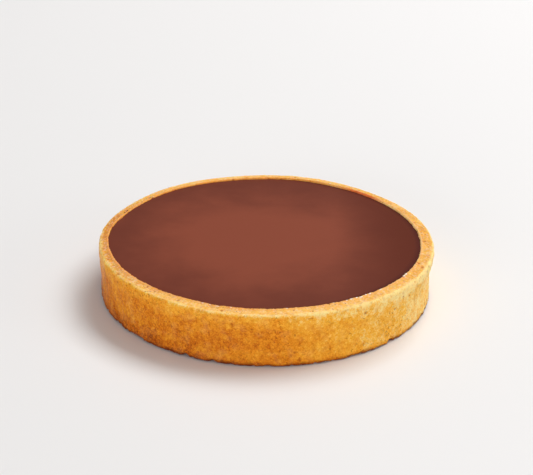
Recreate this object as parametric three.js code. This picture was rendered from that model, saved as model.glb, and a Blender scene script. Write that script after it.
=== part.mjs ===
// A chocolate tart: a low case of sweet pastry, baked in a ring, filled level with set ganache.
// Millimetres, +Z up. The case stands on z = 0 with the middle of its outline at x = y = 0.

import * as THREE from 'three';
import { mergeVertices } from 'three/addons/utils/BufferGeometryUtils.js';

// Driving dimensions
const CASE_DIAMETER = 101.6;     // over the wall, without the lip
const CASE_HEIGHT = 16.2;        // from the base to the rim
const WALL_THICKNESS = 3.3;      // the rolled dough, at its mean
const THICKNESS_SWING = 0.35;    // thicker at the front and back, thinner at the two sides
const FLOOR_THICKNESS = 3;
const WALL_LEAN = 0.1;           // how much narrower the outside is at its foot
const INNER_LEAN = 0.8;          // how much narrower the inside is at its floor
const FOOT_ROUND = 0.6;          // soft edge where the wall meets the base
const SHOULDER_ROUND = 0.7;      // soft outer edge of the rim
const INNER_ROUND = 0.35;        // crisp inner edge of the rim
const FLOOR_CORNER = 1.5;        // fillet between the inside wall and the floor
const FILLING_DROP = 0.35;       // the ganache stands this far below the rim
const FILLING_EDGE = 0.5;        // rounded edge of the ganache, where it shrank from the wall as it set
const SEAM_CLEARANCE = 0.3;      // between the ganache and the wall all round
const SLUMP = 0.6;               // the rim has slumped this far towards -X over the base
const SEGMENTS = 96;             // facets round the tart

// What hands and the oven did to the wall. Each mark is centred at an azimuth in degrees from +X and
// fades out at `spread` degrees on either side of it.
const WALL_MARKS = [             // the whole wall in or out
  { at: 40, reach: -0.3, spread: 24 },
  { at: 74, reach: 0.6, spread: 26 },
  { at: 103, reach: -0.2, spread: 20 },
  { at: 150, reach: -0.4, spread: 26 },
  { at: 172, reach: 0.25, spread: 20 },
  { at: 235, reach: -0.25, spread: 30 },
  { at: 312, reach: 0.5, spread: 44 },
];
const INSIDE_MARKS = [           // only the inside of the wall, and the ganache's edge with it
  { at: 183, reach: 0.4, spread: 24 },
  { at: 268, reach: -0.7, spread: 56 },
];
const LIP_MARKS = [              // only the upper outside of the wall, outwards
  { at: 2, reach: 1.45, spread: 58 },
  { at: 318, reach: 0.3, spread: 50 },
];
const RIM_MARKS = [              // the rim up or down
  { at: 30, reach: 0.1, spread: 30 },
  { at: 76, reach: 0.2, spread: 34 },
  { at: 152, reach: -0.2, spread: 24 },
  { at: 205, reach: 0.15, spread: 30 },
  { at: 262, reach: -0.15, spread: 28 },
  { at: 310, reach: 0.15, spread: 34 },
];
const FOOT_SHARE = 0.5;          // the floor holds the wall's foot, so marks are shallower down there
const LIP_DEPTH = 7;             // the lip starts this far below the rim
const LIP_TURN = 1.5;            // and has its full reach from here up

// Worked out from them
const outerRadius = CASE_DIAMETER / 2;
const innerRadius = outerRadius - WALL_THICKNESS;
const fillingLevel = CASE_HEIGHT - FILLING_DROP;

// The sum of all marks at one azimuth, in millimetres
function markHeight(marks, azimuth) {
  let total = 0;
  for (const mark of marks) {
    const away = THREE.MathUtils.euclideanModulo(azimuth - mark.at + 180, 360) - 180;
    if (Math.abs(away) < mark.spread) {
      total += mark.reach * (0.5 + 0.5 * Math.cos((Math.PI * away) / mark.spread));
    }
  }
  return total;
}

// How far the wall's surface moves outwards at a place on the tart
function outwardShift(azimuth, radius, height) {
  const onWall = THREE.MathUtils.smoothstep(radius, 0.75 * innerRadius, 0.95 * innerRadius);
  const onOutside = THREE.MathUtils.smoothstep(radius, innerRadius, outerRadius - SHOULDER_ROUND);
  const upWall = THREE.MathUtils.lerp(FOOT_SHARE, 1, height / CASE_HEIGHT);
  const upLip = THREE.MathUtils.smoothstep(height, CASE_HEIGHT - LIP_DEPTH, CASE_HEIGHT - LIP_TURN);
  const swing = -THICKNESS_SWING * Math.cos(2 * THREE.MathUtils.degToRad(azimuth));
  return onWall * upWall * markHeight(WALL_MARKS, azimuth)
    + onWall * (1 - onOutside) * markHeight(INSIDE_MARKS, azimuth)
    + onOutside * (swing + upLip * markHeight(LIP_MARKS, azimuth));
}

// Turns a profile of Vector2(radius, height) round +Z, then gives it the marks. The profile runs from
// the axis at the bottom to the axis at the top, so that its faces point out.
function turnAndMark(profile, rimMarks) {
  const turned = new THREE.LatheGeometry(profile, SEGMENTS);
  turned.rotateX(Math.PI / 2);
  turned.deleteAttribute('normal');
  turned.deleteAttribute('uv');
  const geometry = mergeVertices(turned, 1e-4);

  const position = geometry.attributes.position;
  const point = new THREE.Vector3();
  for (let i = 0; i < position.count; i++) {
    point.fromBufferAttribute(position, i);
    const radius = Math.hypot(point.x, point.y);
    if (radius === 0) continue;
    const azimuth = THREE.MathUtils.radToDeg(Math.atan2(point.y, point.x));
    const stretch = 1 + outwardShift(azimuth, radius, point.z) / radius;
    const upRim = THREE.MathUtils.smoothstep(point.z, 0.6 * CASE_HEIGHT, CASE_HEIGHT);
    const lift = upRim * markHeight(rimMarks, azimuth);
    const slumped = (SLUMP * point.z) / CASE_HEIGHT;
    position.setXYZ(i, point.x * stretch - slumped, point.y * stretch, point.z + lift);
  }
  geometry.computeVertexNormals();
  return geometry;
}

// Straight run of `rows` steps from where the path is now to (radius, height)
function rowsTo(path, radius, height, rows) {
  const start = path.currentPoint.clone();
  const end = new THREE.Vector2(radius, height);
  for (let row = 1; row <= rows; row++) {
    const point = start.clone().lerp(end, row / rows);
    path.lineTo(point.x, point.y);
  }
}

// Outside radius of the leaning wall at a height, before any mark
function outsideAt(height) {
  return outerRadius - WALL_LEAN * (1 - height / CASE_HEIGHT);
}

// Inside radius of the wall at a height, before any mark
function insideAt(height) {
  return innerRadius - INNER_LEAN * (1 - height / CASE_HEIGHT);
}

// The pastry: a floor and a wall in one piece, its rim flat with a soft outer shoulder
function pastryCase() {
  const shoulderStart = CASE_HEIGHT - SHOULDER_ROUND;
  const innerEdge = CASE_HEIGHT - INNER_ROUND;
  const cornerTop = FLOOR_THICKNESS + FLOOR_CORNER;
  const path = new THREE.Path();
  path.moveTo(0, 0);
  path.lineTo(outsideAt(0) - FOOT_ROUND, 0);
  path.quadraticCurveTo(outsideAt(0), 0, outsideAt(FOOT_ROUND), FOOT_ROUND);
  rowsTo(path, outsideAt(shoulderStart), shoulderStart, 6);
  path.quadraticCurveTo(outerRadius, CASE_HEIGHT, outerRadius - SHOULDER_ROUND, CASE_HEIGHT);
  path.lineTo(innerRadius + INNER_ROUND, CASE_HEIGHT);
  path.quadraticCurveTo(innerRadius, CASE_HEIGHT, insideAt(innerEdge), innerEdge);
  rowsTo(path, insideAt(cornerTop), cornerTop, 3);
  path.quadraticCurveTo(insideAt(FLOOR_THICKNESS), FLOOR_THICKNESS,
    insideAt(FLOOR_THICKNESS) - FLOOR_CORNER, FLOOR_THICKNESS);
  path.lineTo(0, FLOOR_THICKNESS);

  const crust = new THREE.MeshStandardMaterial({ color: '#d79746', roughness: 0.75, metalness: 0 });
  const mesh = new THREE.Mesh(turnAndMark(path.getPoints(3), RIM_MARKS), crust);
  mesh.name = 'pastry_case';
  return mesh;
}

// The ganache: poured, so its top is level whatever the rim does, and its side follows the wall
function chocolateFilling() {
  const edgeStart = fillingLevel - FILLING_EDGE;
  const cornerTop = FLOOR_THICKNESS + FLOOR_CORNER;
  const sideAt = (height) => insideAt(height) - SEAM_CLEARANCE;
  const path = new THREE.Path();
  path.moveTo(0, FLOOR_THICKNESS);
  path.lineTo(sideAt(FLOOR_THICKNESS) - FLOOR_CORNER, FLOOR_THICKNESS);
  path.quadraticCurveTo(sideAt(FLOOR_THICKNESS), FLOOR_THICKNESS, sideAt(cornerTop), cornerTop);
  rowsTo(path, sideAt(edgeStart), edgeStart, 3);
  path.quadraticCurveTo(sideAt(fillingLevel), fillingLevel,
    sideAt(fillingLevel) - 2 * FILLING_EDGE, fillingLevel);
  path.lineTo(0, fillingLevel);

  const ganache = new THREE.MeshStandardMaterial({ color: '#7d4736', roughness: 0.38, metalness: 0 });
  const mesh = new THREE.Mesh(turnAndMark(path.getPoints(3), []), ganache);
  mesh.name = 'chocolate_filling';
  return mesh;
}

const tart = new THREE.Group();
tart.add(pastryCase(), chocolateFilling());

export default tart;
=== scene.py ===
import math

import bmesh
import bpy
from mathutils import Matrix, Vector


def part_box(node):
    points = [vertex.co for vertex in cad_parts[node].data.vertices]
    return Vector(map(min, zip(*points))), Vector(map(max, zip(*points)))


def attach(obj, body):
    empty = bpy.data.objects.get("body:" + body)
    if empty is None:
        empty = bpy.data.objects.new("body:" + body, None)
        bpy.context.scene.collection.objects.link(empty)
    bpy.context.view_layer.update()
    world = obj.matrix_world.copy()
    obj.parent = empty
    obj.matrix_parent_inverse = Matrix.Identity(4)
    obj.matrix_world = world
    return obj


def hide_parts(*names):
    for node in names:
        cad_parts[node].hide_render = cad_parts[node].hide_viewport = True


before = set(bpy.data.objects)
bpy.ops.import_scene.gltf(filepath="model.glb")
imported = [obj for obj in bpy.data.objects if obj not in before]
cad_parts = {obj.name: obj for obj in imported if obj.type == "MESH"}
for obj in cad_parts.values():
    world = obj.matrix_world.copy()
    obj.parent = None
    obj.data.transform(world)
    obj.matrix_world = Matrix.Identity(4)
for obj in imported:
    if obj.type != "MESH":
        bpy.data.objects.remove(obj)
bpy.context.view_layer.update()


# ---------------------------------------------------------------------------
# The pastry case. A low cup of sweet shortcrust: a disc and a strip of rolled dough pressed together
# in a ring, trimmed level and baked until golden. Butter and sugar give it a fine open crumb with
# small pits and a brown foot where it touched the tray. It grows paler towards +X, partly from uneven
# baking and partly as painted light from the key on the right.

MM = 0.001
NEAR = 0.01 * MM             # places closer than this are the same
CASE_COLUMNS = 1120          # columns of faces round the wall
CASE_GRAIN = 0.29 * MM       # and rows as fine, so that crumb under a millimetre across is real shape

case_low, case_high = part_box("pastry_case")
filling_low, filling_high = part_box("chocolate_filling")
seam_clearance = 0.3 * MM    # between the two solids
filling_radius = (filling_high.y - filling_low.y) / 2
STRAY_INSIDE = 0.3 * MM      # how far the hand-made solid strays from a plain ring: at the inner wall,
STRAY_OUTSIDE = 0.35 * MM    # at the outer wall
STRAY_TOP = 0.2 * MM         # and at the top
wall_inside = filling_radius + seam_clearance + STRAY_INSIDE
wall_outside = (case_high.y - case_low.y) / 2 - STRAY_OUTSIDE
case_height = case_high.z - STRAY_TOP
floor_top = filling_low.z
shoulder_round = 0.7 * MM
inner_round = 0.35 * MM
foot_round = 0.3 * MM
base_margin = 4 * foot_round
inner_lip = 1.5 * MM         # a ring of corners this far down inside, under the filling's surface


def edit_edges(piece, chosen):
    """Selects, in edit mode, the edges whose two ends, as radius and height, pass a test."""
    bpy.ops.object.mode_set(mode="EDIT")
    bpy.ops.mesh.select_all(action="DESELECT")
    bpy.ops.mesh.select_mode(type="EDGE")
    shape = bmesh.from_edit_mesh(piece.data)
    for edge in shape.edges:
        edge.select_set(chosen(*((v.co.xy.length, v.co.z) for v in edge.verts)))
    shape.select_flush_mode()
    bmesh.update_edit_mesh(piece.data)


def edit_level_face(piece, height, facing):
    """Selects, in edit mode, the flat face at one height that faces up (1) or down (-1)."""
    bpy.ops.object.mode_set(mode="EDIT")
    bpy.ops.mesh.select_all(action="DESELECT")
    bpy.ops.mesh.select_mode(type="FACE")
    shape = bmesh.from_edit_mesh(piece.data)
    for face in shape.faces:
        level = abs(face.calc_center_median().z - height) < NEAR
        face.select_set(level and face.normal.z * facing > 0.9999)
    bmesh.update_edit_mesh(piece.data)


def apply_modifier(piece, kind, **settings):
    """Adds one modifier with its settings, and applies it."""
    modifier = piece.modifiers.new(kind.lower(), kind)
    for name, value in settings.items():
        setattr(modifier, name, value)
    bpy.ops.object.modifier_apply(modifier=modifier.name)


bpy.ops.object.select_all(action="DESELECT")
bpy.ops.mesh.primitive_cylinder_add(vertices=CASE_COLUMNS, radius=wall_outside, depth=case_height,
                                    location=(0, 0, case_height / 2))
pastry = bpy.context.object
pastry.name = "baked_pastry_case"
bpy.ops.object.transform_apply(location=True, rotation=True, scale=True)

# the dough is one wall thickness in from the outside, and hollow down to the floor
edit_level_face(pastry, case_height, 1)
bpy.ops.mesh.inset(thickness=wall_outside - wall_inside)
bpy.ops.mesh.extrude_region_move(TRANSFORM_OT_translate={"value": (0, 0, -inner_lip)})
down_to_floor = floor_top - case_height + inner_lip
bpy.ops.mesh.extrude_region_move(TRANSFORM_OT_translate={"value": (0, 0, down_to_floor)})
edit_level_face(pastry, 0, -1)
bpy.ops.mesh.inset(thickness=base_margin)


def on_ring(radius, height):
    """A test that an edge lies on the ring at a radius and a height."""
    return lambda *ends: all(abs(r - radius) < NEAR and abs(z - height) < NEAR for r, z in ends)


# soft shoulder, crisper inner edge and small round at the foot
ROUNDED_EDGES = (
    # radius, height, rounding, segments
    (wall_outside, case_height, shoulder_round, 4),
    (wall_inside, case_height, inner_round, 3),
    (wall_outside, 0, foot_round, 3),
)
for radius, height, rounding, segments in ROUNDED_EDGES:
    edit_edges(pastry, on_ring(radius, height))
    bpy.ops.mesh.bevel(offset=rounding, segments=segments, affect="EDGES")


def up_the_wall(low, high):
    """Whether an edge runs up the whole outer wall."""
    on_the_wall = abs(low[0] - wall_outside) < NEAR and abs(high[0] - wall_outside) < NEAR
    return on_the_wall and abs(low[1] - high[1]) > case_height / 2


def across_the_rim(inner, outer):
    """Whether an edge runs across the whole flat top."""
    on_the_rim = abs(inner[1] - case_height) < NEAR and abs(outer[1] - case_height) < NEAR
    return on_the_rim and abs(inner[0] - outer[0]) > shoulder_round


# rows of faces up the wall and across the rim, as fine as the columns
edit_edges(pastry, up_the_wall)
bpy.ops.mesh.subdivide(number_cuts=round((case_height - shoulder_round - foot_round) / CASE_GRAIN) - 1)
edit_edges(pastry, across_the_rim)
bpy.ops.mesh.subdivide(number_cuts=round((wall_outside - shoulder_round - wall_inside) / CASE_GRAIN) - 1)
bpy.ops.object.mode_set(mode="OBJECT")

# every press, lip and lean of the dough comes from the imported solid, then its facets are eased out where
# the rows are fine: the corners of the hollow under the filling stay where they are
SKIN_DEEP = 2 * MM
skin = pastry.vertex_groups.new(name="skin")
skin_start = case_height - inner_lip / 2
skin.add([v.index for v in pastry.data.vertices
          if v.co.xy.length > wall_outside - SKIN_DEEP or v.co.z > skin_start], 1.0, "REPLACE")
apply_modifier(pastry, "SHRINKWRAP", target=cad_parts["pastry_case"], wrap_method="NEAREST_SURFACEPOINT")
apply_modifier(pastry, "SMOOTH", factor=0.5, iterations=8, vertex_group="skin")

# the trimming blade rounded the shoulder over, so that is eased for longer
BROW_DOWN, BROW_IN = 3 * MM, 2.2 * MM
brow = pastry.vertex_groups.new(name="brow")
brow.add([v.index for v in pastry.data.vertices
          if v.co.z > case_height - BROW_DOWN and v.co.xy.length > wall_outside - BROW_IN], 1.0, "REPLACE")
apply_modifier(pastry, "SMOOTH", factor=0.5, iterations=40, vertex_group="brow")

# chips out of the foot, creases under the shoulder, and one blister on the rim
MARKS = (
    # azimuth in degrees; length, radius and height in mm; push in and up in mm; reach in mm
    (224, 0.8, 50.9, 0.2, 0.30, 0.20, 1.2),
    (244, 1.0, 50.9, 0.2, 0.45, 0.25, 1.3),
    (253, 0.6, 50.9, 0.2, 0.30, 0.20, 1.0),
    (315, 0.8, 50.9, 0.2, 0.45, 0.25, 1.2),
    (333, 0.6, 50.9, 0.2, 0.25, 0.15, 1.0),
    (96, 1.0, 50.9, 0.2, 0.40, 0.25, 1.3),
    (151, 0.6, 50.9, 0.2, 0.30, 0.20, 1.1),
    (28, 0.9, 50.9, 0.2, 0.35, 0.25, 1.2),
    (284, 1.6, 51.0, 14.6, 0.08, 0.0, 0.6),
    (62, 1.5, 51.0, 14.6, 0.08, 0.0, 0.6),
    (89, 2.0, 49.6, 16.1, 0.0, 0.18, 2.4),
)
MARK_THICK = 0.22 * MM
pastry.vertex_groups.new(name="mark")
for azimuth, length, radius, height, push_in, push_up, reach in MARKS:
    bpy.ops.object.mode_set(mode="EDIT")
    bpy.ops.mesh.select_all(action="DESELECT")
    bpy.ops.mesh.select_mode(type="VERT")
    shape = bmesh.from_edit_mesh(pastry.data)
    along = Vector((math.cos(math.radians(azimuth)), math.sin(math.radians(azimuth)), 0))
    middle = along * radius * MM + Vector((0, 0, height * MM))
    for vertex in shape.verts:
        gap = vertex.co - middle
        beside = abs(gap.dot(Vector((-along.y, along.x, 0))))
        vertex.select_set(beside < length / 2 * MM and math.hypot(gap.dot(along), gap.z) < MARK_THICK)
    shape.select_flush_mode()
    bmesh.update_edit_mesh(pastry.data)
    push = -along * push_in * MM + Vector((0, 0, push_up * MM))
    bpy.ops.transform.translate(value=push, use_proportional_edit=True, proportional_size=reach * MM,
                                proportional_edit_falloff="SMOOTH")
    if push_in:
        bpy.ops.object.vertex_group_assign()
bpy.ops.object.mode_set(mode="OBJECT")


def add_node(tree, kind, inputs=None, **settings):
    """Adds one node: settings by name, and inputs by name or number, as values or as sockets to link."""
    node = tree.nodes.new(kind)
    for name, value in settings.items():
        setattr(node, name, value)
    for name, value in (inputs or {}).items():
        if isinstance(value, bpy.types.NodeSocket):
            tree.links.new(value, node.inputs[name])
        else:
            node.inputs[name].default_value = value
    return node


# Crumb relief: lumps of dough, grain, and pits that the butter left, which come in crowds. Apart from the
# shares, each number is a size or depth in millimetres, and SWELL brings the wall out to its mean place.
LUMP_ACROSS, LUMP_DEEP = 3.2, 0.24
GRAIN_ACROSS, GRAIN_DEEP = 1.0, 0.20
PIT_APART, PIT_DEEP = 2.6, 0.15
PIT_RAGGED = 1.3
PIT_SMALL, PIT_LARGE, PIT_FLOOR = 0.13, 0.30, 0.45    # shares: of the distance apart, and of the pit's size
CROWD_ACROSS = 10.0
FLAKE_ACROSS, FLAKE_DEEP = 2.6, 0.45
FLAKE_IN, FLAKE_UP = 0.8, 0.3                         # shares of that depth
SWELL = 0.18
FOOT_SPREAD = 0.45
BURR = 0.55                                           # how far the trimmed inner edge leans inwards

relief = bpy.data.node_groups.new("crumb_relief", "GeometryNodeTree")
relief.interface.new_socket("Geometry", in_out="INPUT", socket_type="NodeSocketGeometry")
relief.interface.new_socket("Geometry", in_out="OUTPUT", socket_type="NodeSocketGeometry")
relief_in = add_node(relief, "NodeGroupInput")
position = add_node(relief, "GeometryNodeInputPosition").outputs[0]
normal = add_node(relief, "GeometryNodeInputNormal").outputs[0]
place = add_node(relief, "ShaderNodeVectorMath", {0: position, "Scale": 1 / MM}, operation="SCALE").outputs[0]
axes = add_node(relief, "ShaderNodeSeparateXYZ", {0: place})
facing = add_node(relief, "ShaderNodeSeparateXYZ", {0: normal})
level_place = add_node(relief, "ShaderNodeVectorMath", {0: position, 1: (1, 1, 0)}, operation="MULTIPLY")
outwards = add_node(relief, "ShaderNodeVectorMath", {0: level_place.outputs[0]}, operation="NORMALIZE")
faces_out = add_node(relief, "ShaderNodeVectorMath", {0: normal, 1: outwards.outputs[0]},
                     operation="DOT_PRODUCT").outputs["Value"]

lumps = add_node(relief, "ShaderNodeTexNoise", {"Vector": place, "Scale": 1 / LUMP_ACROSS, "Detail": 2.0})
grain = add_node(relief, "ShaderNodeTexNoise", {"Vector": place, "Scale": 1 / GRAIN_ACROSS, "Detail": 3.0,
                                                "Roughness": 0.65})
lump_depth = add_node(relief, "ShaderNodeMapRange", {"Value": lumps.outputs[0], "From Min": 0.25,
                                                     "From Max": 0.75, "To Min": LUMP_DEEP, "To Max": 0.0})
grain_depth = add_node(relief, "ShaderNodeMapRange", {"Value": grain.outputs[0], "From Min": 0.3,
                                                      "From Max": 0.65, "To Min": GRAIN_DEEP, "To Max": 0.0})
depth = add_node(relief, "ShaderNodeMath", {0: lump_depth.outputs[0], 1: grain_depth.outputs[0]},
                 operation="ADD").outputs[0]
hollow = depth               # for the material, before the pits and the leans are added

# pits: a round hole, pulled out of shape, in some of the cells, and in more of them where it is crowded
ragged = add_node(relief, "ShaderNodeVectorMath", {0: grain.outputs["Color"], 1: (PIT_RAGGED,) * 3, 2: place},
                  operation="MULTIPLY_ADD")
cells = add_node(relief, "ShaderNodeTexVoronoi", {"Vector": ragged.outputs[0], "Scale": 1 / PIT_APART})
chance = add_node(relief, "ShaderNodeSeparateXYZ", {0: cells.outputs["Color"]})
crowd = add_node(relief, "ShaderNodeTexNoise", {"Vector": place, "Scale": 1 / CROWD_ACROSS, "Detail": 1.0})
empty_share = add_node(relief, "ShaderNodeMapRange", {"Value": crowd.outputs[0], "From Min": 0.35,
                                                      "From Max": 0.65, "To Min": 0.92, "To Max": 0.3})
pit_here = add_node(relief, "ShaderNodeMath", {0: chance.outputs[1], 1: empty_share.outputs[0]},
                    operation="GREATER_THAN")
pit_size = add_node(relief, "ShaderNodeMapRange", {"Value": chance.outputs[0], "To Min": PIT_SMALL,
                                                   "To Max": PIT_LARGE})
pit_floor = add_node(relief, "ShaderNodeMath", {0: pit_size.outputs[0], 1: PIT_FLOOR}, operation="MULTIPLY")
pit_bowl = add_node(relief, "ShaderNodeMapRange",
                    {"Value": cells.outputs["Distance"], "From Min": pit_size.outputs[0],
                     "From Max": pit_floor.outputs[0]}, interpolation_type="SMOOTHSTEP")
pit = add_node(relief, "ShaderNodeMath", {0: pit_bowl.outputs[0], 1: pit_here.outputs[0]},
               operation="MULTIPLY").outputs[0]
depth = add_node(relief, "ShaderNodeMath", {0: pit, 1: PIT_DEEP, 2: depth},
                 operation="MULTIPLY_ADD").outputs[0]

# the burr: near the rim, faces that look towards the middle go out instead of in
leaning = add_node(relief, "ShaderNodeMapRange", {"Value": faces_out, "From Min": 0.0, "From Max": -0.6,
                                                  "To Max": -BURR})
near_rim = add_node(relief, "ShaderNodeMapRange", {"Value": axes.outputs[2], "From Min": 13.0,
                                                   "From Max": 14.5})
depth = add_node(relief, "ShaderNodeMath", {0: leaning.outputs[0], 1: near_rim.outputs[0], 2: depth},
                 operation="MULTIPLY_ADD").outputs[0]
# the outer wall swells back to its mean place, and its foot spread a little more on the side that the
# dough slumped to
swollen = add_node(relief, "ShaderNodeMapRange", {"Value": faces_out, "From Min": 0.2, "From Max": 0.7,
                                                  "To Max": -SWELL})
depth = add_node(relief, "ShaderNodeMath", {0: swollen.outputs[0], 1: depth}, operation="ADD").outputs[0]
spread_low = add_node(relief, "ShaderNodeMapRange", {"Value": axes.outputs[2], "From Min": 4.0,
                                                     "From Max": 0.8, "To Max": -FOOT_SPREAD})
spread_side = add_node(relief, "ShaderNodeMapRange", {"Value": axes.outputs[0], "From Min": 15.0,
                                                      "From Max": -30.0, "To Min": 0.3})
depth = add_node(relief, "ShaderNodeMath", {0: spread_low.outputs[0], 1: spread_side.outputs[0], 2: depth},
                 operation="MULTIPLY_ADD").outputs[0]
inwards = add_node(relief, "ShaderNodeMath", {0: depth, 1: -MM}, operation="MULTIPLY")
# the base is flat on the tray, so faces that look down have none of it
not_base = add_node(relief, "ShaderNodeMath", {0: facing.outputs[2], 1: -0.9}, operation="GREATER_THAN")
inwards = add_node(relief, "ShaderNodeMath", {0: inwards.outputs[0], 1: not_base.outputs[0]},
                   operation="MULTIPLY")
# the flat top and the burr also move up and down: the outer wall and its rounded edges move level
flat = add_node(relief, "ShaderNodeMapRange", {"Value": facing.outputs[2], "From Min": 0.75,
                                               "From Max": 0.95})
inner_side = add_node(relief, "ShaderNodeMath", {0: faces_out, 1: -0.1}, operation="LESS_THAN")
tipped = add_node(relief, "ShaderNodeMath", {0: flat.outputs[0], 1: inner_side.outputs[0]},
                  operation="MAXIMUM")
levelled = add_node(relief, "ShaderNodeCombineXYZ", {0: 1.0, 1: 1.0, 2: tipped.outputs[0]})
push = add_node(relief, "ShaderNodeVectorMath", {0: normal, 1: levelled.outputs[0]}, operation="MULTIPLY")
offset = add_node(relief, "ShaderNodeVectorMath", {0: push.outputs[0], "Scale": inwards.outputs[0]},
                  operation="SCALE")

# the foot lost flakes when it came off the tray: there the dough goes in and a little up
flakes = add_node(relief, "ShaderNodeTexNoise", {"Vector": place, "Scale": 1 / FLAKE_ACROSS, "Detail": 3.0})
flake = add_node(relief, "ShaderNodeMapRange", {"Value": flakes.outputs[0], "From Min": 0.48,
                                                "From Max": 0.62})
low_down = add_node(relief, "ShaderNodeMapRange", {"Value": axes.outputs[2], "From Min": 1.5,
                                                   "From Max": 0.3})
from_axis = add_node(relief, "ShaderNodeVectorMath", {0: level_place.outputs[0]}, operation="LENGTH")
far_out = add_node(relief, "ShaderNodeMapRange", {"Value": from_axis.outputs["Value"],
                                                  "From Min": wall_outside - 2 * base_margin,
                                                  "From Max": wall_outside - base_margin})
flaked = add_node(relief, "ShaderNodeMath", {0: flake.outputs[0], 1: low_down.outputs[0]},
                  operation="MULTIPLY")
flaked = add_node(relief, "ShaderNodeMath", {0: flaked.outputs[0], 1: far_out.outputs[0]},
                  operation="MULTIPLY")
in_and_up = add_node(relief, "ShaderNodeVectorMath", {0: outwards.outputs[0], 1: (-FLAKE_IN, -FLAKE_IN, 0),
                                                      2: (0, 0, FLAKE_UP)}, operation="MULTIPLY_ADD")
flake_size = add_node(relief, "ShaderNodeMath", {0: flaked.outputs[0], 1: FLAKE_DEEP * MM},
                      operation="MULTIPLY")
flake_offset = add_node(relief, "ShaderNodeVectorMath", {0: in_and_up.outputs[0],
                                                         "Scale": flake_size.outputs[0]}, operation="SCALE")
offset = add_node(relief, "ShaderNodeVectorMath", {0: offset.outputs[0], 1: flake_offset.outputs[0]},
                  operation="ADD")

# what the material needs to know of each place: pit, hollow, mark, flat top, shoulder and inner edge
marks = add_node(relief, "GeometryNodeInputNamedAttribute", {"Name": "mark"}, data_type="FLOAT")
top = add_node(relief, "ShaderNodeMapRange", {"Value": facing.outputs[2], "From Min": 0.7, "From Max": 0.95})
shoulder_start = add_node(relief, "ShaderNodeMapRange", {"Value": faces_out, "From Min": 0.02,
                                                         "From Max": 0.22})
shoulder_end = add_node(relief, "ShaderNodeMapRange", {"Value": facing.outputs[2], "From Min": 0.15,
                                                       "From Max": 0.65})
shoulder = add_node(relief, "ShaderNodeMath", {0: shoulder_start.outputs[0], 1: shoulder_end.outputs[0]},
                    operation="MULTIPLY")
high_up = add_node(relief, "ShaderNodeMapRange", {"Value": axes.outputs[2], "From Min": 14.4,
                                                  "From Max": 15.3})
shoulder = add_node(relief, "ShaderNodeMath", {0: shoulder.outputs[0], 1: high_up.outputs[0]},
                    operation="MULTIPLY")
inner_edge = add_node(relief, "ShaderNodeMapRange", {"Value": faces_out, "From Min": -0.05, "From Max": -0.3})
marked = relief_in.outputs[0]
for name, value in (("pit", pit), ("hollow", hollow), ("scar_and_shade", marks.outputs[0]), ("top", top.outputs[0]),
                    ("shoulder", shoulder.outputs[0]), ("inner_edge", inner_edge.outputs[0])):
    marked = add_node(relief, "GeometryNodeStoreNamedAttribute", {"Geometry": marked, "Name": name,
                                                                  "Value": value},
                      data_type="FLOAT", domain="POINT").outputs[0]

moved = add_node(relief, "GeometryNodeSetPosition", {"Geometry": marked, "Offset": offset.outputs[0]})
add_node(relief, "NodeGroupOutput", {0: moved.outputs[0]})
apply_modifier(pastry, "NODES", node_group=relief)
bpy.ops.object.shade_smooth()


def linear(code):
    """The linear colour, with alpha, of an sRGB hex value."""
    channels = [int(code[i:i + 2], 16) / 255 for i in (1, 3, 5)]
    return [c / 12.92 if c <= 0.04045 else ((c + 0.055) / 1.055) ** 2.4 for c in channels] + [1.0]


def new_material(name):
    """An empty material with a shader at its output; returns the material, its tree and the shader."""
    material = bpy.data.materials.new(name)
    material.use_nodes = True
    tree = material.node_tree
    tree.nodes.clear()
    shader = add_node(tree, "ShaderNodeBsdfPrincipled")
    add_node(tree, "ShaderNodeOutputMaterial", {"Surface": shader.outputs[0]})
    return material, tree, shader


# Baked sweet shortcrust: matt and crumbly, from pale straw through gold to amber, with a thin butter
# sheen. How far a place is baked is one number, and the colours follow it; that number also carries
# painted light: paler towards the right, and a painted highlight along the shoulder.
BAKE_COLOURS = (
    (0.0, "#ffe094"),
    (0.25, "#fcba3e"),
    (0.5, "#ee9b20"),
    (0.75, "#d4720c"),
    (1.0, "#903e05"),
)
BAKE_NOISES = (
    # millimetres across, detail, share of the bake
    (11.0, 2.0, 0.32),
    (4.5, 2.0, 0.42),
    (1.7, 3.0, 0.52),
    (0.8, 2.0, 0.54),
    (0.4, 1.0, 0.34),
)
# more sizes in millimetres: breaks in the painted highlight along the shoulder, streaks that the ring
# dragged, freckles of burnt sugar, paler patches of dough, grit (finer in life) and the ragged top of the
# darkest band at the foot (partly scorched dough, partly painted contact shade); a squash below 1 draws
# the streaks and the crack out upwards
HIGHLIGHT_BREAK_ACROSS = 4.0
STREAK_ACROSS, STREAK_SQUASH = 1.3, 0.12
FRECKLE_ACROSS = 0.7
PATCH_ACROSS = 3.2
GRIT_ACROSS, GRIT_DEEP = 0.45, 0.1
SCORCH_SHADE_RAGGED = 2.4
# a painted highlight: the shoulder is made paler by this share of the bake
SHOULDER_HIGHLIGHT = -0.36       # in shares of the bake
# and places in millimetres: where the inner edge caught the heat, where the wall is glossy and painted
# with a pale reflection, and one crack
CAUGHT_PLACE = (32.0, 36.0, 16.0)
GLOSSY_PLACE = (-51.0, -8.0, 9.0)
CRACK_PLACE, CRACK_SQUASH = (-47.3, -19.0, 10.6), 0.16
crust, tree, shader = new_material("baked_sweet_shortcrust")
place = add_node(tree, "ShaderNodeMapping", {"Vector": add_node(tree, "ShaderNodeTexCoord").outputs["Object"],
                                             "Scale": (1 / MM, 1 / MM, 1 / MM)}).outputs[0]
axes = add_node(tree, "ShaderNodeSeparateXYZ", {0: place})
known = {name: add_node(tree, "ShaderNodeAttribute", attribute_name=name).outputs["Fac"]
         for name in ("pit", "hollow", "scar_and_shade", "top", "shoulder", "inner_edge")}
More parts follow.
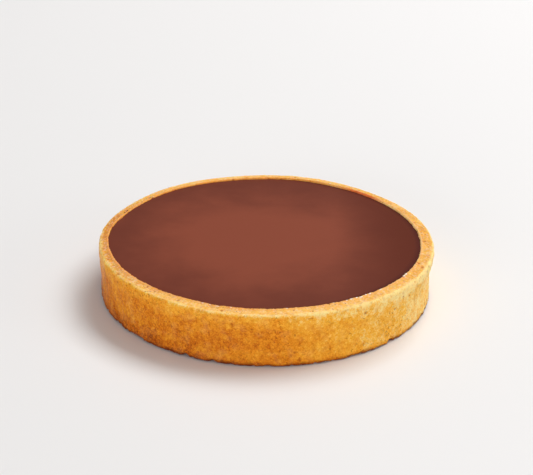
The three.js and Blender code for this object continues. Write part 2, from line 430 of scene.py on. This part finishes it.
# paler towards +X and browner towards -X, on the wall and on the flat top: partly uneven baking, partly
# painted light and shade from the key on the right
bake = add_node(tree, "ShaderNodeMapRange", {"Value": axes.outputs[0], "From Min": -14.0, "From Max": 64.0,
                                             "To Min": 0.64, "To Max": 0.05},
                interpolation_type="SMOOTHSTEP").outputs[0]
flat_bake_and_light = add_node(tree, "ShaderNodeMapRange",
                     {"Value": axes.outputs[0], "From Min": -50.0, "From Max": 50.0, "To Min": 0.54,
                      "To Max": 0.31}).outputs[0]
bake = add_node(tree, "ShaderNodeMix", {0: known["top"], 2: bake, 3: flat_bake_and_light}).outputs[0]
foot_top = add_node(tree, "ShaderNodeMapRange", {"Value": axes.outputs[0], "From Min": -40.0,
                                                 "From Max": -8.0, "To Min": 5.8, "To Max": 2.0}).outputs[0]
foot = add_node(tree, "ShaderNodeMapRange", {"Value": axes.outputs[2], "From Min": foot_top,
                                             "From Max": 0.0, "To Max": 0.30}).outputs[0]
golden = add_node(tree, "ShaderNodeMapRange", {"Value": axes.outputs[2], "From Min": 10.5, "From Max": 15.2,
                                               "To Max": -0.20}, interpolation_type="SMOOTHSTEP").outputs[0]
not_top = add_node(tree, "ShaderNodeMath", {0: 1.0, 1: known["top"]}, operation="SUBTRACT").outputs[0]
golden = add_node(tree, "ShaderNodeMath", {0: golden, 1: not_top}, operation="MULTIPLY").outputs[0]
for part in (foot, golden):
    bake = add_node(tree, "ShaderNodeMath", {0: bake, 1: part}, operation="ADD").outputs[0]
# a painted highlight along the rounded shoulder, broken up by noise and fading towards the right
highlight_breakup = add_node(tree, "ShaderNodeTexNoise", {"Vector": place, "Scale": 1 / HIGHLIGHT_BREAK_ACROSS, "Detail": 2.0})
highlight_breakup = add_node(tree, "ShaderNodeMapRange", {"Value": highlight_breakup.outputs[0], "From Min": 0.38, "From Max": 0.55,
                                             "To Min": 0.5})
highlight_fade_right = add_node(tree, "ShaderNodeMapRange", {"Value": axes.outputs[0], "From Min": 5.0, "From Max": 38.0,
                                              "To Min": 1.0, "To Max": 0.3})
highlight_breakup = add_node(tree, "ShaderNodeMath", {0: highlight_breakup.outputs[0], 1: highlight_fade_right.outputs[0]}, operation="MULTIPLY")
shoulder = add_node(tree, "ShaderNodeMath", {0: known["shoulder"], 1: highlight_breakup.outputs[0]},
                    operation="MULTIPLY").outputs[0]
bake = add_node(tree, "ShaderNodeMath", {0: shoulder, 1: SHOULDER_HIGHLIGHT, 2: bake},
                operation="MULTIPLY_ADD").outputs[0]
streaks = add_node(tree, "ShaderNodeMapping", {"Vector": place, "Scale": (1, 1, STREAK_SQUASH)})
streak = add_node(tree, "ShaderNodeTexNoise", {"Vector": streaks.outputs[0], "Scale": 1 / STREAK_ACROSS,
                                                "Detail": 2.0})
swing = add_node(tree, "ShaderNodeMath", {0: streak.outputs[0], 1: 0.5}, operation="SUBTRACT")
sideways = add_node(tree, "ShaderNodeMath", {0: axes.outputs[0]}, operation="ABSOLUTE")
dragged = add_node(tree, "ShaderNodeMapRange", {"Value": sideways.outputs[0], "From Min": 34.0,
                                                "From Max": 48.0, "To Max": 0.45})
bake = add_node(tree, "ShaderNodeMath", {0: swing.outputs[0], 1: dragged.outputs[0], 2: bake},
                operation="MULTIPLY_ADD").outputs[0]
noises = []
for across, detail, share in BAKE_NOISES:
    noise = add_node(tree, "ShaderNodeTexNoise", {"Vector": place, "Scale": 1 / across, "Detail": detail,
                                                  "Roughness": 0.6})
    noises.append(noise.outputs[0])
    swing = add_node(tree, "ShaderNodeMath", {0: noise.outputs[0], 1: 0.5}, operation="SUBTRACT")
    bake = add_node(tree, "ShaderNodeMath", {0: swing.outputs[0], 1: share, 2: bake},
                    operation="MULTIPLY_ADD").outputs[0]
ramp = add_node(tree, "ShaderNodeValToRGB", {"Fac": bake})
for stop, (at, code) in enumerate(BAKE_COLOURS):
    element = ramp.color_ramp.elements[stop] if stop < 2 else ramp.color_ramp.elements.new(at)
    element.position = at
    element.color = linear(code)
colour = ramp.outputs[0]

# the trimmed top is peachier and floury, hollows hold shade, freckles of sugar burnt first, pits are painted
# brown, partly for the shade in them, the very edge of the foot is darkest, partly painted contact shade,
# and at the far left butter left glossy streaks, which are also painted pale as a reflection
freckles = add_node(tree, "ShaderNodeTexNoise", {"Vector": place, "Scale": 1 / FRECKLE_ACROSS, "Detail": 1.0})
freckle = add_node(tree, "ShaderNodeMapRange", {"Value": freckles.outputs[0], "From Min": 0.6,
                                                "From Max": 0.72}).outputs[0]
crowded = add_node(tree, "ShaderNodeMapRange", {"Value": noises[0], "From Min": 0.42, "From Max": 0.6,
                                                "To Min": 0.2}).outputs[0]
freckle = add_node(tree, "ShaderNodeMath", {0: freckle, 1: crowded}, operation="MULTIPLY").outputs[0]
shade = add_node(tree, "ShaderNodeMapRange", {"Value": known["hollow"], "From Min": 0.22,
                                              "From Max": 0.44}).outputs[0]
# the darkest band at the foot's edge: partly scorched dough, partly painted contact shade where it meets the
# floor
ragged_height = add_node(tree, "ShaderNodeMath", {0: noises[1], 1: SCORCH_SHADE_RAGGED, 2: axes.outputs[2]},
                         operation="MULTIPLY_ADD").outputs[0]
scorched_and_contact_shade = add_node(tree, "ShaderNodeMapRange", {"Value": ragged_height, "From Min": 2.4,
                                                 "From Max": 1.5}).outputs[0]
caught = add_node(tree, "ShaderNodeVectorMath", {0: place, 1: CAUGHT_PLACE}, operation="DISTANCE")
caught = add_node(tree, "ShaderNodeMapRange", {"Value": caught.outputs["Value"], "From Min": 11.0,
                                               "From Max": 4.0}).outputs[0]
caught = add_node(tree, "ShaderNodeMath", {0: caught, 1: known["inner_edge"]},
                  operation="MULTIPLY").outputs[0]
patches = add_node(tree, "ShaderNodeTexNoise", {"Vector": place, "Scale": 1 / PATCH_ACROSS, "Detail": 2.0})
patch = add_node(tree, "ShaderNodeMapRange", {"Value": patches.outputs[1], "From Min": 0.5,
                                              "From Max": 0.68}).outputs[0]
far_left = add_node(tree, "ShaderNodeVectorMath", {0: place, 1: GLOSSY_PLACE}, operation="DISTANCE")
far_left = add_node(tree, "ShaderNodeMapRange", {"Value": far_left.outputs["Value"], "From Min": 16.0,
                                                 "From Max": 6.0}, interpolation_type="SMOOTHSTEP").outputs[0]
# painted reflection: pale streaks at the far left, where the coat gives the butter sheen real gloss too
gloss_and_painted_sheen = add_node(tree, "ShaderNodeMapRange", {"Value": streak.outputs[0], "From Min": 0.42,
                                               "From Max": 0.62, "To Max": 0.7}).outputs[0]
gloss_and_painted_sheen = add_node(tree, "ShaderNodeMath", {0: gloss_and_painted_sheen, 1: far_left}, operation="MULTIPLY").outputs[0]
gloss_and_painted_sheen = add_node(tree, "ShaderNodeMath", {0: gloss_and_painted_sheen, 1: not_top}, operation="MULTIPLY").outputs[0]
crack = add_node(tree, "ShaderNodeVectorMath", {0: place, 1: CRACK_PLACE}, operation="SUBTRACT")
crack = add_node(tree, "ShaderNodeVectorMath", {0: crack.outputs[0], 1: (1.0, 1.0, CRACK_SQUASH)},
                 operation="MULTIPLY")
crack = add_node(tree, "ShaderNodeVectorMath", {0: crack.outputs[0]}, operation="LENGTH")
crack = add_node(tree, "ShaderNodeMapRange", {"Value": crack.outputs["Value"], "From Min": 0.7,
                                              "From Max": 0.2}).outputs[0]
# the flat top runs from dark ochre on the left through pale in front to gold on the right; the darker left is
# partly the top's own colour and partly painted shade
top_left = add_node(tree, "ShaderNodeMapRange", {"Value": axes.outputs[0], "From Min": -50.0,
                                                 "From Max": -34.0}).outputs[0]
top_right = add_node(tree, "ShaderNodeMapRange", {"Value": axes.outputs[0], "From Min": 12.0,
                                                  "From Max": 44.0}).outputs[0]
top_colour = add_node(tree, "ShaderNodeMix", {0: top_left, 6: linear("#b86c1e"), 7: linear("#fcd07c")},
                      data_type="RGBA").outputs[2]
top_colour = add_node(tree, "ShaderNodeMix", {0: top_right, 6: top_colour, 7: linear("#e2a855")},
                      data_type="RGBA").outputs[2]
mottle = add_node(tree, "ShaderNodeMapRange", {"Value": noises[2], "From Min": 0.4, "From Max": 0.6,
                                               "To Min": 0.25, "To Max": 0.7}).outputs[0]
top_share = add_node(tree, "ShaderNodeMath", {0: known["top"], 1: mottle}, operation="MULTIPLY").outputs[0]
colour = add_node(tree, "ShaderNodeMix", {0: top_share, 6: colour, 7: top_colour},
                  data_type="RGBA").outputs[2]
floury = add_node(tree, "ShaderNodeMapRange", {"Value": freckles.outputs[1], "From Min": 0.5,
                                               "From Max": 0.62}).outputs[0]
floury = add_node(tree, "ShaderNodeMath", {0: floury, 1: known["top"]}, operation="MULTIPLY").outputs[0]
toasted = add_node(tree, "ShaderNodeMapRange", {"Value": noises[3], "From Min": 0.46,
                                                "From Max": 0.36}).outputs[0]
toasted = add_node(tree, "ShaderNodeMath", {0: toasted, 1: known["top"]}, operation="MULTIPLY").outputs[0]
for part, share, code in (
        (patch, 0.16, "#f6c478"),
        (floury, 0.35, "#ffe6cc"),
        (toasted, 0.35, "#cc7a20"),
        (gloss_and_painted_sheen, 0.15, "#f8cfa4"),
        (crack, 0.7, "#8a4410"),
        (known["inner_edge"], 0.4, "#f5a062"),
        (caught, 0.8, "#e2581c"),
        (shade, 0.4, "#b85c0c"),
        (freckle, 0.65, "#a34c06"),
        # pits painted brown: partly their own colour, partly the shade in them
        (known["pit"], 0.75, "#ae500a"),
        # chips and creases painted brown: partly scars in the dough, partly the shade under the creases
        (known["scar_and_shade"], 0.6, "#c0600c"),
        (scorched_and_contact_shade, 0.9, "#6e2607")):
    amount = add_node(tree, "ShaderNodeMath", {0: part, 1: share}, operation="MULTIPLY")
    colour = add_node(tree, "ShaderNodeMix", {0: amount.outputs[0], 6: colour, 7: linear(code)},
                      data_type="RGBA").outputs[2]
tree.links.new(colour, shader.inputs["Base Color"])
roughness = add_node(tree, "ShaderNodeMapRange", {"Value": noises[0], "From Min": 0.3, "From Max": 0.7,
                                                  "To Min": 0.45, "To Max": 0.7})
tree.links.new(roughness.outputs[0], shader.inputs["Roughness"])
grit = add_node(tree, "ShaderNodeTexNoise", {"Vector": place, "Scale": 1 / GRIT_ACROSS, "Detail": 3.0})
bump = add_node(tree, "ShaderNodeBump", {"Height": grit.outputs[0], "Distance": GRIT_DEEP * MM,
                                         "Strength": 0.8})
tree.links.new(bump.outputs[0], shader.inputs["Normal"])
tree.links.new(gloss_and_painted_sheen, shader.inputs["Coat Weight"])
shader.inputs["Coat Roughness"].default_value = 0.25
shader.inputs["Specular IOR Level"].default_value = 0.14
# light goes a little way into the crumb, and warms its small shadows
shader.inputs["Subsurface Weight"].default_value = 0.25
shader.inputs["Subsurface Radius"].default_value = (1.0, 0.35, 0.1)
shader.inputs["Subsurface Scale"].default_value = 1.2 * MM
pastry.data.materials.clear()
pastry.data.materials.append(crust)
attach(pastry, "root")
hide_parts("pastry_case")


# ---------------------------------------------------------------------------
# The ganache. Warm chocolate and cream poured almost level with the rim and left to set: smooth, with
# a satin skin, and tight against the pastry all round.

FILLING_COLUMNS = 480
RINGS = 21
TUCKED_IN = 1.5 * MM         # it goes this far into the wall, so that the pastry's inner edge trims it
into_wall = seam_clearance + TUCKED_IN

bpy.ops.object.select_all(action="DESELECT")
filling_height = filling_high.z - filling_low.z
bpy.ops.mesh.primitive_cylinder_add(vertices=FILLING_COLUMNS, radius=filling_radius, depth=filling_height,
                                    location=(0, 0, filling_low.z + filling_height / 2))
ganache = bpy.context.object
ganache.name = "set_ganache"
bpy.ops.object.transform_apply(location=True, rotation=True, scale=True)
edit_level_face(ganache, filling_high.z, 1)
for ring in range(RINGS):
    bpy.ops.mesh.inset(thickness=filling_radius / (RINGS + 1))
bpy.ops.object.mode_set(mode="OBJECT")
apply_modifier(ganache, "SHRINKWRAP", target=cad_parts["chocolate_filling"],
               wrap_method="NEAREST_SURFACEPOINT")
bpy.ops.object.mode_set(mode="EDIT")
bpy.ops.mesh.select_all(action="SELECT")
widen = 1 + into_wall / filling_radius
bpy.ops.transform.resize(value=(widen, widen, 1), center_override=(0, 0, 0))
bpy.ops.object.mode_set(mode="OBJECT")
bpy.ops.object.shade_smooth_by_angle(angle=math.radians(40))

# Set ganache: cocoa butter and cream, a close brown with a satin skin and a painted sheen near the middle
CLOUD_ACROSS, CLOUD_SPREAD = 16.0, 34.0
RIPPLE_ACROSS, RIPPLE_DEEP = 5.0, 0.1
SHEEN_CENTRE = (-3.0, -2.0, 15.8)
chocolate, tree, shader = new_material("set_chocolate_ganache")
place = add_node(tree, "ShaderNodeMapping", {"Vector": add_node(tree, "ShaderNodeTexCoord").outputs["Object"],
                                             "Scale": (1 / MM, 1 / MM, 1 / MM)}).outputs[0]
axes = add_node(tree, "ShaderNodeSeparateXYZ", {0: place})
# painted sheen: lighter round one spot and darker away from it, its edge broken by a cloud of noise
from_middle = add_node(tree, "ShaderNodeVectorMath", {0: place, 1: SHEEN_CENTRE}, operation="DISTANCE")
cloud = add_node(tree, "ShaderNodeTexNoise", {"Vector": place, "Scale": 1 / CLOUD_ACROSS, "Detail": 4.0,
                                              "Roughness": 0.55})
spread = add_node(tree, "ShaderNodeMath", {0: cloud.outputs[0], 1: CLOUD_SPREAD,
                                           2: from_middle.outputs["Value"]}, operation="MULTIPLY_ADD")
painted_sheen = add_node(tree, "ShaderNodeMapRange", {"Value": spread.outputs[0], "From Min": 34.0, "From Max": 66.0},
                interpolation_type="SMOOTHSTEP")
brown = add_node(tree, "ShaderNodeMix", {0: painted_sheen.outputs[0], 6: linear("#86432f"), 7: linear("#6b3223")},
                 data_type="RGBA")
# painted shade: darker towards the right
shade_right = add_node(tree, "ShaderNodeMapRange", {"Value": axes.outputs[0], "From Min": 18.0, "From Max": 48.0,
                                              "To Max": 1.0}, interpolation_type="SMOOTHSTEP")
darker = add_node(tree, "ShaderNodeMix", {0: shade_right.outputs[0], 6: brown.outputs[2], 7: linear("#5e2411")},
                  data_type="RGBA")
# a thin, darker line where it meets the pastry, on the right: painted shade between the two parts
from_axis = add_node(tree, "ShaderNodeVectorMath", {0: place, 1: (1, 1, 0)}, operation="MULTIPLY")
from_axis = add_node(tree, "ShaderNodeVectorMath", {0: from_axis.outputs[0]}, operation="LENGTH")
seam_shade = add_node(tree, "ShaderNodeMapRange", {"Value": from_axis.outputs["Value"], "From Min": 45.0,
                                               "From Max": 46.8})
on_the_right = add_node(tree, "ShaderNodeMapRange", {"Value": axes.outputs[0], "From Min": 5.0,
                                                     "From Max": 38.0, "To Max": 0.8})
seam_shade = add_node(tree, "ShaderNodeMath", {0: seam_shade.outputs[0], 1: on_the_right.outputs[0]},
                  operation="MULTIPLY")
darker = add_node(tree, "ShaderNodeMix", {0: seam_shade.outputs[0], 6: darker.outputs[2], 7: linear("#451009")},
                  data_type="RGBA")
tree.links.new(darker.outputs[2], shader.inputs["Base Color"])
shader.inputs["Roughness"].default_value = 0.45
shader.inputs["Specular IOR Level"].default_value = 0.06
ripple = add_node(tree, "ShaderNodeTexNoise", {"Vector": place, "Scale": 1 / RIPPLE_ACROSS, "Detail": 2.0})
bump = add_node(tree, "ShaderNodeBump", {"Height": ripple.outputs[0], "Distance": RIPPLE_DEEP * MM,
                                         "Strength": 0.5})
tree.links.new(bump.outputs[0], shader.inputs["Normal"])
ganache.data.materials.clear()
ganache.data.materials.append(chocolate)
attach(ganache, "root")
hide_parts("chocolate_filling")


# ---------------------------------------------------------------------------
# Melted sugar. Glassy beads of it where the pastry's cut edge meets the ganache, thickest towards the
# front right; their almost white colour is partly the sugar's and partly painted glints.

SUGAR_BEADS = (
    # azimuth in degrees, then length, width and height in mm
    (326.9, 1.0, 0.75, 0.36),
    (328.5, 1.1, 0.65, 0.36),
    (313.0, 0.9, 0.45, 0.28),
    (307.9, 1.0, 0.55, 0.30),
    (306.2, 0.7, 0.40, 0.24),
    (304.0, 1.2, 0.60, 0.32),
    (302.3, 0.8, 0.40, 0.25),
    (300.2, 1.1, 0.55, 0.30),
    (298.4, 0.7, 0.36, 0.22),
    (293.5, 0.5, 0.28, 0.20),
    (277.2, 0.6, 0.28, 0.20),
    (258.5, 0.6, 0.26, 0.18),
    (254.0, 0.9, 0.30, 0.20),
    (251.3, 0.6, 0.26, 0.20),
    (248.6, 1.0, 0.32, 0.22),
    (64.0, 0.8, 0.34, 0.26),
    (141.0, 0.7, 0.32, 0.24),
)
BEAD_ACROSS = 1 * MM         # the bead that is copied; each copy is scaled to its own size
BEAD_BELLY, BEAD_LIFT, BEAD_LUMPY = 0.1 * MM, 0.12 * MM, 0.05 * MM
BEAD_SPREAD = (1.35, 1.35, 0.6)
BEAD_BACK = 0.45 * MM        # each bead lies this far behind the seam, found by a drop from above
DROP = 5 * MM
bpy.ops.object.select_all(action="DESELECT")
bpy.ops.mesh.primitive_ico_sphere_add(subdivisions=2, radius=BEAD_ACROSS / 2)
sugar = bpy.context.object
sugar.name = "sugar_beads_with_glints"
# a drop sags and wets what it lies on, so its lower half is pressed up and out, and it set a little lumpy
bpy.ops.object.mode_set(mode="EDIT")
bpy.ops.mesh.select_all(action="DESELECT")
bpy.ops.mesh.select_mode(type="VERT")
shape = bmesh.from_edit_mesh(sugar.data)
for vertex in shape.verts:
    vertex.select_set(vertex.co.z < -BEAD_BELLY)
shape.select_flush_mode()
bmesh.update_edit_mesh(sugar.data)
bpy.ops.transform.translate(value=(0, 0, BEAD_LIFT))
bpy.ops.transform.resize(value=BEAD_SPREAD, center_override=(0, 0, 0))
bpy.ops.mesh.select_all(action="SELECT")
bpy.ops.transform.vertex_random(offset=BEAD_LUMPY, uniform=0.0, normal=1.0, seed=7)
bpy.ops.object.mode_set(mode="OBJECT")
apply_modifier(sugar, "SUBSURF", levels=1, render_levels=1)

# the same bead for each place, every one with its own mesh
beads = [sugar]
for spare in SUGAR_BEADS[1:]:
    bead = bpy.data.objects.new("sugar_bead", sugar.data.copy())
    bpy.context.scene.collection.objects.link(bead)
    beads.append(bead)
for bead, (azimuth, length, width, height) in zip(beads, SUGAR_BEADS):
    around = math.radians(azimuth)
    along = Vector((math.cos(around), math.sin(around), 0))
    seam = pastry.ray_cast(Vector((0, 0, filling_high.z + 2 * NEAR)), along)[1]
    above = seam + along * BEAD_BACK + Vector((0, 0, DROP))
    resting_place = pastry.ray_cast(above, Vector((0, 0, -1)))[1]
    bead.data.transform(Matrix.Translation(resting_place) @ Matrix.Rotation(around, 4, "Z")
                        @ Matrix.Diagonal((width, length, height, 1)))
    bead.select_set(True)
bpy.ops.object.join()
bpy.ops.object.shade_smooth()

# Boiled sugar that set clear over pastry: glassy, a little cloudy, and almost white, partly as painted glints
CLOUDY_ACROSS = 0.5          # millimetres
glaze, tree, shader = new_material("sugar_with_painted_glints")
place = add_node(tree, "ShaderNodeMapping", {"Vector": add_node(tree, "ShaderNodeTexCoord").outputs["Object"],
                                             "Scale": (1 / MM, 1 / MM, 1 / MM)}).outputs[0]
cloudy = add_node(tree, "ShaderNodeTexNoise", {"Vector": place, "Scale": 1 / CLOUDY_ACROSS, "Detail": 2.0})
# almost white: partly the sugar, partly painted glints
glint_white = add_node(tree, "ShaderNodeMix", {0: cloudy.outputs[0], 6: linear("#fff6ea"), 7: linear("#fbdcae")},
                data_type="RGBA")
tree.links.new(glint_white.outputs[2], shader.inputs["Base Color"])
shader.inputs["Roughness"].default_value = 0.12
shader.inputs["IOR"].default_value = 1.5
sugar.data.materials.clear()
sugar.data.materials.append(glaze)
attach(sugar, "root")


# ---------------------------------------------------------------------------
# The table and the studio: a plain pale floor, three soft lights (a key behind and to the right, a low
# fill from the front left and a weak one from the right), and a white room, dimmer towards its horizon.

FLOOR_ACROSS = 4.0
bpy.ops.object.select_all(action="DESELECT")
bpy.ops.mesh.primitive_plane_add(size=FLOOR_ACROSS, location=(0, 0, 0))
table = bpy.context.object
table.name = "pale_floor"
floor_paint, tree, shader = new_material("matt_white_floor")
shader.inputs["Base Color"].default_value = linear("#e9e7e6")
shader.inputs["Roughness"].default_value = 0.6
table.data.materials.append(floor_paint)

world = bpy.data.worlds.new("white_studio")
bpy.context.scene.world = world
world.use_nodes = True
room = world.node_tree
looking = add_node(room, "ShaderNodeTexCoord").outputs["Generated"]
direction = add_node(room, "ShaderNodeSeparateXYZ", {0: looking})
strength = add_node(room, "ShaderNodeMapRange", {"Value": direction.outputs[2], "From Min": 0.0,
                                                 "From Max": 0.7, "To Min": 0.23, "To Max": 0.40})
room.nodes["Background"].inputs["Color"].default_value = linear("#ffffff")
room.links.new(strength.outputs[0], room.nodes["Background"].inputs["Strength"])

LIGHTS_AIM = Vector((0, 0, 0.01))
SOFTBOXES = (
    # name; azimuth from +X towards +Y, and elevation, in degrees; distance, width and height in metres; watts
    ("key", 44, 55, 1.7, 1.4, 0.75, 25.0),
    ("front_fill", -117, 9, 2.2, 1.4, 1.0, 19.5),
    ("right_fill", -20, 12, 2.2, 1.0, 1.0, 6.5),
)
for name, azimuth, elevation, distance, width, height, watts in SOFTBOXES:
    around, up = math.radians(azimuth), math.radians(elevation)
    towards = Vector((math.cos(around) * math.cos(up), math.sin(around) * math.cos(up), math.sin(up)))
    lamp = bpy.data.lights.new(name, "AREA")
    lamp.shape = "RECTANGLE"
    lamp.size = width
    lamp.size_y = height
    lamp.energy = watts
    holder = bpy.data.objects.new(name, lamp)
    bpy.context.scene.collection.objects.link(holder)
    holder.location = LIGHTS_AIM + towards * distance
    holder.rotation_euler = towards.to_track_quat("Z", "Y").to_euler()

CAMERA_ELEVATION = math.radians(24.78)
CAMERA_DISTANCE = 0.408
CAMERA_AIM = Vector((0, -0.0027, 0.0172))
CAMERA_ROLL = math.radians(0.85)
lens = bpy.data.cameras.new("camera")
lens.sensor_width = 36
lens.lens = 90.64
camera = bpy.data.objects.new("camera", lens)
bpy.context.scene.collection.objects.link(camera)
back_from_aim = Vector((0, -math.cos(CAMERA_ELEVATION), math.sin(CAMERA_ELEVATION)))
camera.location = CAMERA_AIM + back_from_aim * CAMERA_DISTANCE
camera.rotation_euler = (back_from_aim.to_track_quat("Z", "Y").to_matrix()
                         @ Matrix.Rotation(CAMERA_ROLL, 3, "Z")).to_euler()
bpy.context.scene.camera = camera
bpy.context.scene.view_settings.view_transform = "Standard"
